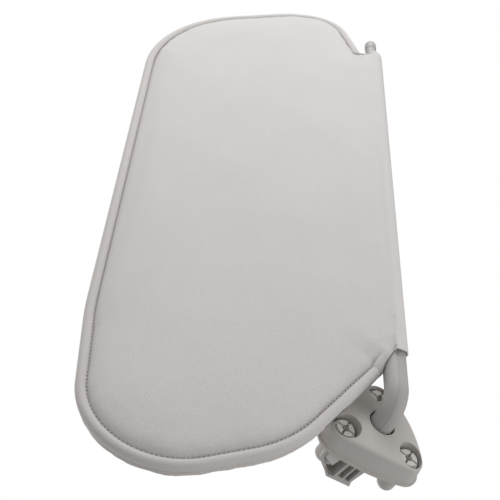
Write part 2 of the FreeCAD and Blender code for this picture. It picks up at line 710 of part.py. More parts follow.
def make_core(name, depth, front):
    """One half of the moulded core, from the rod axis outwards."""
    body = new_body(name)
    close = {PIVOT_SIDE: size("core_pivot_inset"), SHOULDER_SIDE: CORE_SHOULDER_INSET}
    plan = offset(OUTLINE, size("core_inset"), close)
    sketch = new_sketch(body, f"{name}_plan", rounded_loop(plan))
    pad(body, f"{name}_pad", sketch, depth, down=not front)
    rib_hollows(body, name, f"{depth} - core_skin", up=front)
    rod_channel(body, name)
    block_room(body, name, up=front)
    if not front:
        screws = new_sketch(body, f"{name}_screw_holes")
        for x in screw_places():
            add_circle(screws, FreeCAD.Vector(x, size("screw_line"), 0), "screw_radius")
        pocket(body, f"{name}_screw_pocket", screws, "screw_length - screw_head_height")
        relieve(body, name)
    body.Placement = panel_placement()
    return body


def make_covers():
    """Padding, cloth faces and edge piping, as plain solids."""
    foam = new_body("foam_front")
    plan = offset(OUTLINE, size("foam_inset"), {PIVOT_SIDE: FOAM_PIVOT_INSET, SHOULDER_SIDE: FOAM_SHOULDER_INSET})
    sketch = new_sketch(foam, "foam_plan", rounded_loop(plan), level="core_front_depth")
    pad(foam, "foam_pad", sketch, "foam_thickness")

    front = new_body("cover_front")
    edges = {PIVOT_SIDE: 0.0, SHOULDER_SIDE: COVER_SHOULDER_INSET}
    plan = offset(OUTLINE, size("piping_width") + COVER_GAP, edges)
    sketch = new_sketch(front, "front_plan", rounded_loop(plan), level="front_face - cover_thickness")
    pad(front, "front_pad", sketch, "cover_thickness")
    wrap_length = size("holder_at") + size("wrap_past_holder") - size("wrap_start")
    strip = rectangle(size("wrap_start"), OUTLINE[0][1], wrap_length, size("wrap_thickness"))
    wrap = new_sketch(front, "front_wrap", strip, level="front_face - cover_thickness")
    pad(front, "front_wrap_pad", wrap, "front_face + core_back_depth", down=True)

    back = new_body("cover_back")
    edges[PIVOT_SIDE] = size("wrap_thickness")
    plan = offset(OUTLINE, size("back_inset"), edges)
    sketch = new_sketch(back, "back_plan", rounded_loop(plan), level="-core_back_depth")
    pad(back, "back_pad", sketch, "cover_thickness", down=True)
    relieve(back, "cover_back")

    piping = new_body("edge_piping")
    sketch = new_sketch(piping, "piping_plan", rounded_loop(piping_corners()), level="-piping_back")
    pad(piping, "piping_pad", sketch, "piping_front + piping_back")
    for body in (foam, front, back, piping):
        body.Placement = panel_placement()


def screw_places():
    """Where the two carrier screws stand along the rod."""
    start = size("carrier_at")
    margin = size("screw_end_distance")
    return (start + margin, start + size("carrier_length") - margin)


def make_block(name, start, length, bore):
    """Block bored along the rod's axis."""
    body = new_body(name)
    low = size("block_low")
    half = size("block_half_height")
    plan = rectangle(size(start), low, size(length), size("block_width"))
    sketch = new_sketch(body, f"{name}_plan", plan, level="-block_half_height")
    pad(body, f"{name}_pad", sketch, "2 * block_half_height")
    hole = new_sketch(body, f"{name}_bore", plane="YZ_Plane", level=start)
    add_circle(hole, FreeCAD.Vector(0, 0, 0), bore)
    pocket(body, f"{name}_bore_pocket", hole, length, up=True)
    body.Placement = panel_placement()
    return body


def make_clip_carrier():
    """Carrier that holds the detent spring round the rod."""
    body = make_block("clip_carrier", "carrier_at", "carrier_length", "rod_radius + running_gap + spring_thickness")
    slot = new_sketch(body, "carrier_leg_slot", plane="YZ_Plane", level="carrier_at", geometry=rectangle(
        0.0, -size("leg_room") / 2, size("leg_end") + 0.5, size("leg_room")))
    pocket(body, "carrier_leg_pocket", slot, "carrier_length", up=True)
    holes = new_sketch(body, "carrier_screw_holes", level="block_half_height")
    heads = new_sketch(body, "carrier_head_holes", level="block_half_height")
    for x in screw_places():
        add_circle(holes, FreeCAD.Vector(x, size("screw_line"), 0), "screw_radius")
        add_circle(heads, FreeCAD.Vector(x, size("screw_line"), 0), "screw_head_radius")
    pocket(body, "carrier_screw_pocket", holes)
    pocket(body, "carrier_head_pocket", heads, "screw_head_height")
    return body


def make_carrier_screws():
    """Two screws that hold the carrier in the core."""
    screws = []
    place = panel_placement()
    top = size("block_half_height")
    for number, x in enumerate(screw_places()):
        shank = doc.addObject("Part::Cylinder", f"screw_shank_{number}")
        bind(shank, "Radius", "screw_radius")
        bind(shank, "Height", "screw_length")
        low = top - size("screw_head_height") - size("screw_length")
        shank.Placement = place.multiply(FreeCAD.Placement(
            FreeCAD.Vector(x, size("screw_line"), low), FreeCAD.Rotation()))
        head = doc.addObject("Part::Cylinder", f"screw_head_{number}")
        bind(head, "Radius", "screw_head_radius")
        bind(head, "Height", "screw_head_height")
        head.Placement = place.multiply(FreeCAD.Placement(
            FreeCAD.Vector(x, size("screw_line"), top - size("screw_head_height")), FreeCAD.Rotation()))
        screw = doc.addObject("Part::Fuse", f"screw_{number}")
        screw.Base = shank
        screw.Tool = head
        screws.append(screw)
    group = doc.addObject("Part::Compound", "carrier_screws")
    group.Label = "carrier_screws"
    group.Links = screws
    doc.recompute()
    SUB_PARTS.append(group)
    return group


def make_detent_spring():
    """Strip wrapped round the rod, with two legs that press on its flat."""
    body = new_body("detent_spring")
    inner = size("rod_radius") + size("running_gap")
    outer = inner + size("spring_thickness")
    mouth = math.radians(size("leg_mouth"))
    leg_end = size("leg_end")
    ends = []
    for radius in (outer, inner):
        ends.append((radius * math.cos(mouth), radius * math.sin(mouth)))
    (ox, oy), (ix, iy) = ends
    points = {
        "outer_high": FreeCAD.Vector(ox, oy, 0), "outer_low": FreeCAD.Vector(ox, -oy, 0),
        "inner_high": FreeCAD.Vector(ix, iy, 0), "inner_low": FreeCAD.Vector(ix, -iy, 0),
        "tip_outer_high": FreeCAD.Vector(leg_end, oy, 0), "tip_outer_low": FreeCAD.Vector(leg_end, -oy, 0),
        "tip_inner_high": FreeCAD.Vector(leg_end, iy, 0), "tip_inner_low": FreeCAD.Vector(leg_end, -iy, 0),
    }
    profile = [
        Part.Arc(points["outer_high"], FreeCAD.Vector(-outer, 0, 0), points["outer_low"]),
        Part.LineSegment(points["outer_low"], points["tip_outer_low"]),
        Part.LineSegment(points["tip_outer_low"], points["tip_inner_low"]),
        Part.LineSegment(points["tip_inner_low"], points["inner_low"]),
        Part.Arc(points["inner_low"], FreeCAD.Vector(-inner, 0, 0), points["inner_high"]),
        Part.LineSegment(points["inner_high"], points["tip_inner_high"]),
        Part.LineSegment(points["tip_inner_high"], points["tip_outer_high"]),
        Part.LineSegment(points["tip_outer_high"], points["outer_high"]),
    ]
    sketch = new_sketch(body, "detent_profile", profile, plane="YZ_Plane", level="detent_at")
    pad(body, "detent_pad", sketch, "detent_length")
    body.Placement = panel_placement()
    return body


def make_bushes():
    """Two bushes that the panel turns on."""
    for name, start, inner in (
        ("bush_outboard", "outboard_bush_at", "spigot_radius + running_gap"),
        ("bush_inboard", "inboard_bush_at", "rod_radius + running_gap"),
    ):
        body = tube_body(name, start, "bush_length", "bush_radius", inner, plane="YZ_Plane")
        body.Placement = panel_placement()


def make_clip_pin():
    """Pin that snaps into the roof's clip, with a round end."""
    body = new_body("clip_pin")
    head = size("pin_head_radius")
    neck = size("pin_neck_radius")
    tip = size("pin_tip_at")
    centre = tip - head
    join = tip - size("pin_head_length")
    step = join + size("pin_step")
    slant = head * math.sqrt(0.5)
    root = size("pin_root_radius")
    start = size("pin_root_at")
    shoulder = size("pin_shoulder_at")
    profile = [
        Part.LineSegment(FreeCAD.Vector(start, 0, 0), FreeCAD.Vector(start, root, 0)),
        Part.LineSegment(FreeCAD.Vector(start, root, 0), FreeCAD.Vector(shoulder, root, 0)),
        Part.LineSegment(FreeCAD.Vector(shoulder, root, 0), FreeCAD.Vector(shoulder, neck, 0)),
        Part.LineSegment(FreeCAD.Vector(shoulder, neck, 0), FreeCAD.Vector(join, neck, 0)),
        Part.LineSegment(FreeCAD.Vector(join, neck, 0), FreeCAD.Vector(step, head, 0)),
        Part.LineSegment(FreeCAD.Vector(step, head, 0), FreeCAD.Vector(centre, head, 0)),
        Part.Arc(FreeCAD.Vector(centre, head, 0), FreeCAD.Vector(centre + slant, slant, 0),
                 FreeCAD.Vector(tip, 0, 0)),
        Part.LineSegment(FreeCAD.Vector(tip, 0, 0), FreeCAD.Vector(start, 0, 0)),
    ]
    sketch = new_sketch(body, "pin_profile", profile)
    turned(body, "pin_turned", sketch, "H_Axis")
    body.Placement = panel_placement()
    return body


make_bezel()
make_base()
make_roof_latch()
make_fixing_plugs()
make_swing_bearing()
make_elbow_sleeve()
make_retaining_ring()
make_pivot_rod()
make_core("core_front", "core_front_depth", front=True)
make_core("core_back", "core_back_depth", front=False)
make_covers()
make_bushes()
make_clip_carrier()
make_detent_spring()
make_carrier_screws()
make_block("pin_holder", "holder_at", "holder_length", "pin_root_radius")
make_clip_pin()
doc.recompute()

for item in doc.Objects:
    if "Invalid" in item.State or "Error" in item.State:
        raise RuntimeError(f"{item.Name} failed: {item.State}")
for part in SUB_PARTS:
    if part.Shape.isNull() or not part.Shape.isValid():
        raise RuntimeError(f"{part.Label} has no valid shape")

os.makedirs("parts", exist_ok=True)
for part in SUB_PARTS:
    part.Shape.exportStep(f"parts/{part.Label}.step")
    print(part.Label, len(part.Shape.Solids), round(part.Shape.Volume, 1))
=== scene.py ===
"""Looks of a padded car sun visor: knit-covered panel, rolled edge, moulded elbow arm and roof bracket."""
import json
import math

import bmesh
import bpy
import numpy as np
from mathutils import Matrix, Vector
from mathutils.kdtree import KDTree


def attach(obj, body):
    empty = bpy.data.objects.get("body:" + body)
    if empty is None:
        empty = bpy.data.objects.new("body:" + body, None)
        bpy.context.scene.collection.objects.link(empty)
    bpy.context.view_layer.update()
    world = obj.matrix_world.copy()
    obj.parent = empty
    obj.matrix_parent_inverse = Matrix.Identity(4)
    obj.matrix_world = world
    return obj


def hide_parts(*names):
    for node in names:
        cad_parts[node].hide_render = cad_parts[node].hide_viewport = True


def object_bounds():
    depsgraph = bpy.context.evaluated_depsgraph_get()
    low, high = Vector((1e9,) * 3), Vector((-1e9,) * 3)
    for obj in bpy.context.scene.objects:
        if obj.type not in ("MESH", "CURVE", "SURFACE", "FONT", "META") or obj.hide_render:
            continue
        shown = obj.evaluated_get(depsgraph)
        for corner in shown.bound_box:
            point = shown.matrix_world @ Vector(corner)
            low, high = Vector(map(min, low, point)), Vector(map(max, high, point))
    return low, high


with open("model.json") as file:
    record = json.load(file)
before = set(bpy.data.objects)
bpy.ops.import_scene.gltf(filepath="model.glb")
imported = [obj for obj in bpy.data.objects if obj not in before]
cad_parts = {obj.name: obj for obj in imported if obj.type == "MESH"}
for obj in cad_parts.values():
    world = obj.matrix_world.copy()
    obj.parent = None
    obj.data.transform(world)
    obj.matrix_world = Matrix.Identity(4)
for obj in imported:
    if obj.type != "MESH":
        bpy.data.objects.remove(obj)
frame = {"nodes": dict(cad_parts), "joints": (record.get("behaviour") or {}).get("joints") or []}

cad_low, cad_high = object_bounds()

MM = 0.001

# The panel's own frame: x along the rod from the swing axis, y to the free edge, z to the room side.
TILT = next(joint for joint in frame["joints"] if joint["name"] == "panel_tilt")
RAISE_ANGLE = 20.0
PANEL = Matrix.Translation(TILT["pos_m"]) @ Matrix.Rotation(math.radians(180.0 - RAISE_ANGLE), 4, "X")

# Corners of the panel's outline in millimetres: x, y and corner radius.
OUTLINE = [
    (40.0, -7.5, 10.0),
    (343.0, -7.5, 13.0),
    (343.0, 8.0, 3.0),
    (394.0, 25.0, 30.0),
    (391.0, 63.0, 40.0),
    (351.0, 160.6, 92.0),
    (40.0, 162.0, 200.0),
    (-79.0, 153.0, 50.0),
    (-38.5, 49.5, 70.0),
]
ROLL_START = (19.8, 7.17)
ROLL_END = (340.0, 7.0)
ROLL_RADIUS = 2.9
ROLL_HEIGHT = 1.6
CREASE_INSET = 5.6

# Depths from the rod's axis, in millimetres.
FRONT_FACE = 9.0
BACK_ROUND = 8.2
SEAM_VALLEY = 2.2
PIVOT_ROUND = 8.2
PUFF = 1.2
PUFF_SHOWN = 0.3

# The elbow end: distances back along the outline from its corner by the arm.
JOIN_RUN = 27.5
WIDEN_RUN = 27.5
CREASE_FADES = (14.0, 28.0)
CREASE_END = 25.0
WIDE_CREASE = 6.4
BACK_INSET = 1.6

# The arm and its mouth in the cloth, in millimetres.
ARM_RADIUS = 6.2
ARM_BEND = 12.0
ROD_DROP = 28.5
MOUTH_RADIUS = 6.9
MOUTH_REACH = (-20.0, 58.0)
RIM_SIDE = 0.6
HOOD_END = 10.0
RIM_SLANT = ((0.0, 14.0), (29.0, 14.0), (44.0, -14.0), (0.0, -14.0))

# Hollow in the roof side over the bracket: radius about the swing axis and level under the roof.
HOLLOW_RADIUS = 36.0
HOLLOW_LEVEL = -17.0

# How the covers are made: voxel, cloth pressure, and the band of the rim that is sewn down.
VOXEL = 4.0
PRESSURE = 4.0
SEWN_BAND = 2.0

# The front cover's plan and its lowest level, in millimetres.
TUCK = 0.7
HOOD_INSET = 0.15
SHOULDER_INSET = 0.3
FRONT_FLOOR = -7.4

# The cloth's rise from the crease, and the run over which it reaches its crown.
FIELD_RISE = 3.4
FIELD_RISE_RUN = 2.6
FIELD_CROWN_RUN = 11.0
PUFF_FULL = 30.0

# Folds of the elbow end: swelling of the roll, and height and edge of the hood round the arm.
ELBOW_SWELL = 1.5
SWELL_RUNS = (-WIDEN_RUN - 1.0, -WIDEN_RUN + 7.0)
HOOD_HEIGHT = 8.8
HOOD_EDGE = 2.4
HOOD_WIDENING = 3.0
HOOD_RUNS = (8.0, 26.0)
ELBOW_INSETS = (24.0, 34.0)
JOIN_BLEND = 2.0

# The shoulder by the pin: how it rounds off, over which part of the side, and its least height.
SHOULDER_ROUND = 5.0
SHOULDER_EASE = (-11.0, -8.0)
SHOULDER_LOW = 0.2

# How thin the front cover's underside is at the crease, and at the elbow end.
UNDER_THIN = 0.18
UNDER_RUN = 9.0
ELBOW_THIN = 0.2
ELBOW_RUN = 12.0

# The back cover's levels, the inset of its pivot side, its puff and its thinning at the rim.
BACK_LEVELS = (-8.0, -0.6)
BACK_PIVOT_INSET = 1.5
BACK_PUFF = 0.8
BACK_THIN = 0.55
BACK_RUN = 7.0
HUG_REACH = 6.0
RIM_DEPTH = -14.0

# Lock stitch: pitch, length of each visible thread and its radius.
STITCH_PITCH = 2.4
STITCH_LENGTH = 1.5
STITCH_RADIUS = 0.42
STITCH_LIFT = 1.1

# Parting ridge on the arm: turn round the arm, depth it is sunk, radius, and its straight ends.
RIDGE_TURN = -14.0
RIDGE_SUNK = 0.12
RIDGE_RADIUS = 0.3
RIDGE_TOP = (-7.0, -10.0, -13.0)
RIDGE_END = (15.0, 19.0, 23.0, 27.0)
RIDGE_STEPS = 24


# ---------------------------------------------------------------- outlines

def offset(corners, distance, sides=None, closed=True):
    """Move every side to its left by distance, or by its own distance in sides."""
    sides = sides or {}
    count = len(corners)
    lines = []
    for index in range(count if closed else count - 1):
        start = Vector(corners[index][:2])
        along = (Vector(corners[(index + 1) % count][:2]) - start).normalized()
        shift = sides.get(index, distance)
        lines.append((start + Vector((-along.y, along.x)) * shift, along, shift))
    moved = []
    for index, (x, y, radius) in enumerate(corners):
        if not closed and index in (0, count - 1):
            base, along, _ = lines[0] if index == 0 else lines[-1]
            point = base + along * (Vector((x, y)) - base).dot(along)
            moved.append((point.x, point.y, 0.0))
            continue
        base, along, shift_before = lines[index - 1]
        other, onward, shift_after = lines[index % len(lines)]
        cross = along.cross(onward)
        point = base + along * ((other - base).cross(onward) / cross)
        change = min(shift_before, shift_after) * (1 if cross > 0 else -1)
        moved.append((point.x, point.y, max(radius - change, 0.6)))
    return moved


def rounded(corners, closed=True, step=2.0):
    """Points along a polygon whose corners are rounded, about a step apart."""
    stops = []
    count = len(corners)
    for index, (x, y, radius) in enumerate(corners):
        corner = Vector((x, y))
        if radius <= 0 or (not closed and index in (0, count - 1)):
            stops.append([corner])
            continue
        before = (Vector(corners[index - 1][:2]) - corner).normalized()
        after = (Vector(corners[(index + 1) % count][:2]) - corner).normalized()
        half = before.angle(after) / 2
        centre = corner + (before + after).normalized() * (radius / math.sin(half))
        start = corner + before * (radius / math.tan(half)) - centre
        end = corner + after * (radius / math.tan(half)) - centre
        sweep = start.angle_signed(end)
        pieces = max(3, int(abs(sweep) * radius / step))
        arc = []
        for piece in range(pieces + 1):
            turn = -sweep * piece / pieces
            c, s = math.cos(turn), math.sin(turn)
            arc.append(centre + Vector((start.x * c - start.y * s, start.x * s + start.y * c)))
        stops.append(arc)
    points = []
    for index, arc in enumerate(stops):
        points += arc
        if not closed and index == count - 1:
            break
        far = stops[(index + 1) % count][0]
        gap = far - arc[-1]
        pieces = max(1, int(gap.length / step))
        points += [arc[-1] + gap * (piece / pieces) for piece in range(1, pieces)]
    return points


def roll_path(inset, step=2.0):
    """Open path that follows the outline from the pin round to the elbow, moved inwards."""
    outer = [(*ROLL_END, 0.0)] + OUTLINE[3:] + [(*ROLL_START, 0.0)]
    return rounded(offset(outer, inset, closed=False), closed=False, step=step)


ELBOW_CORNER = Vector(OUTLINE[0][:2])
ELBOW_SIDE = (Vector(OUTLINE[-1][:2]) - ELBOW_CORNER).normalized()


def elbow_point(run, inset):
    """Point a run back along the elbow side from its corner, and an inset inwards."""
    return ELBOW_CORNER + ELBOW_SIDE * run + Vector((ELBOW_SIDE.y, -ELBOW_SIDE.x)) * inset


def elbow_place(x, y):
    """Run and inset of points given by their plan coordinates."""
    across, along = x - ELBOW_CORNER.x, y - ELBOW_CORNER.y
    run = across * ELBOW_SIDE.x + along * ELBOW_SIDE.y
    return run, across * ELBOW_SIDE.y - along * ELBOW_SIDE.x


def crease_inset(run):
    """The crease's distance from the edge: it widens towards the arm."""
    part = np.clip((WIDEN_RUN - run) / (WIDEN_RUN - CREASE_END), 0, 1)
    return CREASE_INSET + (WIDE_CREASE - CREASE_INSET) * part ** 1.1


def crease_path(step=2.0):
    """Line of the sewn crease, from the pin round to where it fades by the arm."""
    path = [p for p in roll_path(CREASE_INSET, step)
            if not (elbow_place(p.x, p.y)[0] < WIDEN_RUN and elbow_place(p.x, p.y)[1] < 2 * CREASE_INSET)]
    return path + [elbow_point(run, float(crease_inset(run)))
                   for run in np.arange(WIDEN_RUN, CREASE_END, -step)]


# ---------------------------------------------------------------- meshes

def new_object(name, mesh):
    """Object at the origin, in the scene."""
    made = bpy.data.objects.new(name, mesh)
    bpy.context.scene.collection.objects.link(made)
    return made


def freeze(thing):
    """Replace an object's mesh by its evaluated one and drop its modifiers."""
    graph = bpy.context.evaluated_depsgraph_get()
    mesh = bpy.data.meshes.new_from_object(thing.evaluated_get(graph), depsgraph=graph)
    thing.modifiers.clear()
    old = thing.data
    thing.data = mesh
    bpy.data.meshes.remove(old)
    return thing


def prism(name, points, low, high):
    """Closed slab over a plan, in the panel's frame and metres."""
    mesh = bpy.data.meshes.new(name)
    form = bmesh.new()
    bottom = [form.verts.new((p.x * MM, p.y * MM, low * MM)) for p in points]
    top = [form.verts.new((p.x * MM, p.y * MM, high * MM)) for p in points]
    form.faces.new(bottom[::-1])
    form.faces.new(top)
    for index in range(len(points)):
        after = (index + 1) % len(points)
        form.faces.new((bottom[index], bottom[after], top[after], top[index]))
    bmesh.ops.recalc_face_normals(form, faces=form.faces)
    form.to_mesh(mesh)
    form.free()
    return new_object(name, mesh)


def read_points(thing):
    """Vertex positions in millimetres."""
    flat = np.empty(len(thing.data.vertices) * 3)
    thing.data.vertices.foreach_get("co", flat)
    return flat.reshape(-1, 3) / MM


def write_points(thing, points):
    """Set vertex positions given in millimetres."""
    thing.data.vertices.foreach_set("co", (points * MM).ravel())
    thing.data.update()


def remesh(thing, size):
    """Even quads of a given size in millimetres."""
    change = thing.modifiers.new("even", "REMESH")
    change.mode = "VOXEL"
    change.voxel_size = size * MM
    return freeze(thing)


def inflate(thing, cap, sewn, frames=20):
    """Puff a closed cover by cloth simulation, no point moving further than the cap; sewn points stay."""
    rest = read_points(thing)
    cloth = thing.modifiers.new("cloth", "CLOTH")
    cloth.settings.quality = 5
    cloth.settings.use_pressure = True
    cloth.settings.uniform_pressure_force = PRESSURE
    cloth.settings.effector_weights.gravity = 0.0
    held = thing.vertex_groups.new(name="sewn")
    held.add([int(number) for number in sewn], 1.0, "REPLACE")
    cloth.settings.vertex_group_mass = "sewn"
    scene = bpy.context.scene
    for number in range(1, frames + 1):
        scene.frame_set(number)
    freeze(thing)
    scene.frame_set(1)
    moved = read_points(thing) - rest
    length = np.linalg.norm(moved, axis=1, keepdims=True)
    write_points(thing, rest + moved * np.minimum(1.0, cap / np.maximum(length, 1e-6)))


def subdivide(thing):
    """One level of Catmull-Clark subdivision, applied."""
    change = thing.modifiers.new("smooth", "SUBSURF")
    change.levels = change.render_levels = 1
    freeze(thing)


def even(thing, rounds=12):
    """Relax the stepped rim that the remesh leaves."""
    change = thing.modifiers.new("even", "SMOOTH")
    change.factor = 0.5
    change.iterations = rounds
    freeze(thing)


def smooth_shade(thing):
    """Smooth shading on every face."""
    thing.data.polygons.foreach_set("use_smooth", [True] * len(thing.data.polygons))


def nearest_on(points, path):
    """Nearest place of a path to each point, in plan."""
    tree = KDTree(len(path))
    for index, place in enumerate(path):
        tree.insert((place.x, place.y, 0), index)
    tree.balance()
    return np.array([tree.find((x, y, 0))[0][:2] for x, y in points[:, :2]])


def distance_to(points, path):
    """Distance from each point to a path, in plan."""
    return np.linalg.norm(nearest_on(points, path) - points[:, :2], axis=1)


def hug(points, path, reach):
    """Draw the points nearest to a path onto it, which takes out the steps of the remesh."""
    nearest = nearest_on(points, path)
    gap = np.linalg.norm(nearest - points[:, :2], axis=1)
    points[:, :2] += (nearest - points[:, :2]) * (1 - smooth_step(gap, reach / 3, reach))[:, None]


def smooth_step(values, low, high):
    """Ease from 0 at low to 1 at high."""
    part = np.clip((values - low) / (high - low), 0, 1)
    return part * part * (3 - 2 * part)


def to_world(thing):
    """Move a mesh from the panel's frame into the row's frame."""
    thing.data.transform(PANEL)
    thing.data.update()


# ---------------------------------------------------------------- materials

def srgb(code):
    """Linear colour of an sRGB hex value."""
    parts = [int(code[i:i + 2], 16) / 255 for i in (1, 3, 5)]
    linear = [c / 12.92 if c <= 0.04045 else ((c + 0.055) / 1.055) ** 2.4 for c in parts]
    return (*linear, 1.0)


def add(tree, kind, inputs=None, **settings):
    """Add a node, set its own settings and set or link its inputs."""
    made = tree.nodes.new(kind)
    for key, value in settings.items():
        setattr(made, key, value)
    for key, value in (inputs or {}).items():
        if isinstance(value, bpy.types.NodeSocket):
            tree.links.new(value, made.inputs[key])
        else:
            made.inputs[key].default_value = value
    return made


def new_material(name, **shader):
    """Material with a Principled shader; returns it, its tree, the shader and object coordinates."""
    made = bpy.data.materials.new(name)
    made.use_nodes = True
    tree = made.node_tree
    surface = tree.nodes["Principled BSDF"]
    for key, value in shader.items():
        surface.inputs[key.replace("_", " ")].default_value = value
    place = add(tree, "ShaderNodeTexCoord").outputs["Object"]
    return made, tree, surface, place


def tone(tree, surface, place, dark, light, scale, detail=3.0):
    """Colour that drifts between two close tones."""
    noise = add(tree, "ShaderNodeTexNoise", {"Vector": place, "Scale": scale, "Detail": detail})
    ramp = add(tree, "ShaderNodeMix", {"Factor": noise.outputs["Fac"]}, data_type="RGBA")
    ramp.inputs[6].default_value = srgb(dark)
    ramp.inputs[7].default_value = srgb(light)
    tree.links.new(ramp.outputs[2], surface.inputs["Base Color"])
    return ramp.outputs[2]


def knit_cloth(name, dark, light, wale=1.3, course=1.0, depth=0.25):
    """Brushed polyester warp knit: matt and soft, with a faint sheen, rows of fine loops and painted shade
    in the hollows between them.

    Real loops are about 0.9 by 0.7 mm; the rows are drawn a little coarser, so that they show.
    """
    made, tree, surface, place = new_material(name, Roughness=0.93, Sheen_Weight=0.25, Sheen_Roughness=0.5)
    surface.inputs["Specular IOR Level"].default_value = 0.25
    turned = add(tree, "ShaderNodeMapping", {
        "Vector": place, "Rotation": (math.radians(RAISE_ANGLE - 180.0), 0, 0)}).outputs["Vector"]
    apart = add(tree, "ShaderNodeSeparateXYZ", {"Vector": turned})
    waves = []
    for axis, pitch in (("X", course), ("Y", wale)):
        scaled = add(tree, "ShaderNodeMath", {0: apart.outputs[axis], 1: 2 * math.pi / (pitch * MM)},
                     operation="MULTIPLY")
        waves.append(add(tree, "ShaderNodeMath", {0: scaled.outputs[0]}, operation="SINE").outputs[0])
    loops = add(tree, "ShaderNodeMath", {0: waves[0], 1: waves[1]}, operation="MULTIPLY").outputs[0]
    fuzz = add(tree, "ShaderNodeTexNoise", {"Vector": place, "Scale": 1 / (0.9 * MM), "Detail": 4.0,
                                            "Roughness": 0.7}).outputs["Fac"]
    height = add(tree, "ShaderNodeMath", {0: loops, 1: 0.2, 2: fuzz}, operation="MULTIPLY_ADD").outputs[0]
    bump = add(tree, "ShaderNodeBump", {"Height": height, "Strength": 0.6, "Distance": depth * MM})
    tree.links.new(bump.outputs["Normal"], surface.inputs["Normal"])
    drift = tone(tree, surface, place, dark, light, 1 / (38 * MM), 5.0)
    # Painted shade: the colour is scaled by the bump's height, so it is darker in the low places between
    # loops and fibres and lighter on their tops.
    painted_hollow_shade = add(tree, "ShaderNodeMapRange", {"Value": height, "From Min": 0.1, "From Max": 0.95,
                                             "To Min": 0.88, "To Max": 1.08}).outputs["Result"]
    shade = add(tree, "ShaderNodeVectorMath", {0: drift, "Scale": painted_hollow_shade}, operation="SCALE")
    tree.links.new(shade.outputs[0], surface.inputs["Base Color"])
    return made


def moulded(name, dark, light, roughness, grain=0.35, depth=0.03):
    """Injection-moulded plastic: even colour with a fine spark-eroded grain."""
    made, tree, surface, place = new_material(name, Roughness=roughness, IOR=1.49)
    tone(tree, surface, place, dark, light, 1 / (25 * MM))
    noise = add(tree, "ShaderNodeTexNoise", {"Vector": place, "Scale": 1 / (grain * MM), "Detail": 2.0})
    bump = add(tree, "ShaderNodeBump", {
        "Height": noise.outputs["Fac"], "Strength": 0.5, "Distance": depth * MM})
    tree.links.new(bump.outputs["Normal"], surface.inputs["Normal"])
    return made


def drawn_steel(name, colour, roughness):
    """Zinc-plated drawn steel: bright, with lines a third of a millimetre apart and 33 mm long."""
    made, tree, surface, place = new_material(name, Metallic=1.0, Roughness=roughness)
    surface.inputs["Base Color"].default_value = srgb(colour)
    lines = add(tree, "ShaderNodeMapping", {"Vector": place, "Scale": (30, 3000, 3000)}).outputs["Vector"]
    noise = add(tree, "ShaderNodeTexNoise", {"Vector": lines, "Scale": 1.0, "Detail": 2.0})
    bump = add(tree, "ShaderNodeBump", {
        "Height": noise.outputs["Fac"], "Strength": 0.2, "Distance": 0.02 * MM})
    tree.links.new(bump.outputs["Normal"], surface.inputs["Normal"])
    return made


knit = knit_cloth("brushed_knit_cloth", "#CCC9C7", "#D5D2D0")
knit_roll = knit_cloth("stretched_knit_cloth", "#C8C4C2", "#D1CDCB", wale=1.5, course=1.2, depth=0.2)
back_knit = knit_cloth("back_knit_cloth", "#C8C3C0", "#D0CCC9")
thread = knit_cloth("polyester_thread", "#BDB8B5", "#C9C4C1", wale=0.6, course=0.5, depth=0.1)
bracket_abs = moulded("spark_textured_abs", "#B8B4B0", "#C0BCB8", 0.55)
arm_acetal = moulded("smooth_grey_acetal", "#AAA6A3", "#B1ADAA", 0.55, grain=0.5, depth=0.012)
plug_acetal = moulded("pale_acetal", "#C9C6C2", "#D3D0CC", 0.45, grain=0.5, depth=0.012)
pin_acetal = moulded("pin_acetal", "#A8A5A2", "#B0ADAA", 0.45, grain=0.5, depth=0.01)
bearing_acetal = moulded("bearing_acetal", "#DAD7CC", "#E2DFD5", 0.4, grain=0.6, depth=0.01)
core_polypropylene = moulded("filled_polypropylene", "#8B8886", "#93908E", 0.6)
padding_foam = moulded("open_cell_foam", "#C8C5C2", "#D1CECB", 0.95, grain=0.6, depth=0.2)
spring_steel = drawn_steel("hardened_strip_steel", "#8C8C90", 0.35)
zinc_steel = drawn_steel("zinc_plated_steel", "#B7B7BA", 0.28)

CAD_FINISH = {
    "bezel": bracket_abs, "base": bracket_abs, "roof_latch": plug_acetal, "fixing_plugs": plug_acetal,
    "swing_bush": bearing_acetal, "swing_spring": spring_steel, "swing_washer": spring_steel,
    "elbow_sleeve": arm_acetal, "retaining_ring": spring_steel, "pivot_rod": zinc_steel,
    "core_front": core_polypropylene, "core_back": core_polypropylene, "foam_front": padding_foam,
    "bush_outboard": bearing_acetal, "bush_inboard": bearing_acetal, "clip_carrier": core_polypropylene,
    "detent_spring": spring_steel, "carrier_screws": zinc_steel, "pin_holder": pin_acetal,
    "clip_pin": pin_acetal, "cover_front": knit, "cover_back": back_knit, "edge_piping": knit_roll,
}
for node_name, finish in CAD_FINISH.items():
    shown = frame["nodes"][node_name]
    shown.data.materials.clear()
    shown.data.materials.append(finish)


# ---------------------------------------------------------------- padded covers

def round_edge(points, distance, radius, front, back):
    """Bend a slab's square edge into a half round that meets the front and back faces."""
    near = distance < radius
    inward = radius - distance[near]
    angle = np.arctan2(points[near, 2], inward)
    points[near, 1] -= radius * np.cos(angle) - inward
    points[near, 2] = np.where(angle > 0, front, back) * np.sin(angle)


def quarter_round(part):
    """Height of a quarter circle, from 0 at its edge to 1 a radius inwards."""
    return np.sqrt(1 - (1 - np.clip(part, 0, 1)) ** 2)


def field_height(sewn):
    """Height of the front cloth over the rod's axis, by its distance from the crease."""
    crown = FRONT_FACE - SEAM_VALLEY - FIELD_RISE
    return (SEAM_VALLEY + FIELD_RISE * quarter_round(sewn / FIELD_RISE_RUN)
            + crown * (1 - np.exp(-np.maximum(sewn - 1, 0) / FIELD_CROWN_RUN)))


